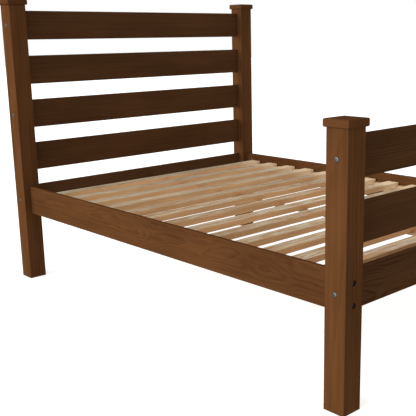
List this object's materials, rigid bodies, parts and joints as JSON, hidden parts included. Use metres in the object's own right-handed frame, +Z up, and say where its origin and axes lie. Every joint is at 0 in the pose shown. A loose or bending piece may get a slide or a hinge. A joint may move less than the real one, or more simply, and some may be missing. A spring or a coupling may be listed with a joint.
{
  "type": "bed frame",
  "caption": "Free-standing solid wood bed frame with square capped posts, open headboard and footboard of flat horizontal boards, side rails and a low deck of pine slats.",
  "frame": {"origin": "on the floor under the middle of the bed's bounding box", "axes": "+Z up, +Y from the foot end to the head end, +X to the right as seen from the foot"},
  "size_m": [1.666, 2.252, 1.44],
  "materials": {
    "walnut_wood": "dark walnut stain, satin",
    "pine_wood": "bare planed pine",
    "dowel_wood": "bare hardwood",
    "bright_steel": "bright plated, satin",
    "black_steel": "black oxide",
    "zinc_steel": "zinc plated"
  },
  "bodies": {
    "root": {"post_head_left": "walnut_wood", "post_head_right": "walnut_wood", "post_foot_left": "walnut_wood", "post_foot_right": "walnut_wood", "cap_head_left": "walnut_wood", "cap_head_right": "walnut_wood", "cap_foot_left": "walnut_wood", "cap_foot_right": "walnut_wood", "head_rail_1": "walnut_wood", "head_rail_2": "walnut_wood", "head_rail_3": "walnut_wood", "head_rail_4": "walnut_wood", "head_rail_5": "walnut_wood", "foot_rail_1": "walnut_wood", "foot_rail_2": "walnut_wood", "foot_rail_3": "walnut_wood", "side_rail_left": "walnut_wood", "side_rail_right": "walnut_wood", "slat_01": "pine_wood", "slat_02": "pine_wood", "slat_03": "pine_wood", "slat_04": "pine_wood", "slat_05": "pine_wood", "slat_06": "pine_wood", "slat_07": "pine_wood", "slat_08": "pine_wood", "slat_09": "pine_wood", "slat_10": "pine_wood", "slat_11": "pine_wood", "slat_12": "pine_wood", "slat_13": "pine_wood", "ledger_left": "pine_wood", "ledger_right": "pine_wood", "centre_batten": "pine_wood", "batten_cleat_head": "pine_wood", "batten_cleat_foot": "pine_wood", "rail_dowels": "dowel_wood", "side_rail_dowels": "dowel_wood", "cap_dowels": "dowel_wood", "rail_bolts": "bright_steel", "side_rail_bolts": "black_steel", "side_rail_washers": "black_steel", "rail_barrel_nuts": "zinc_steel", "side_rail_barrel_nuts": "zinc_steel"}
  },
  "joints": []
}
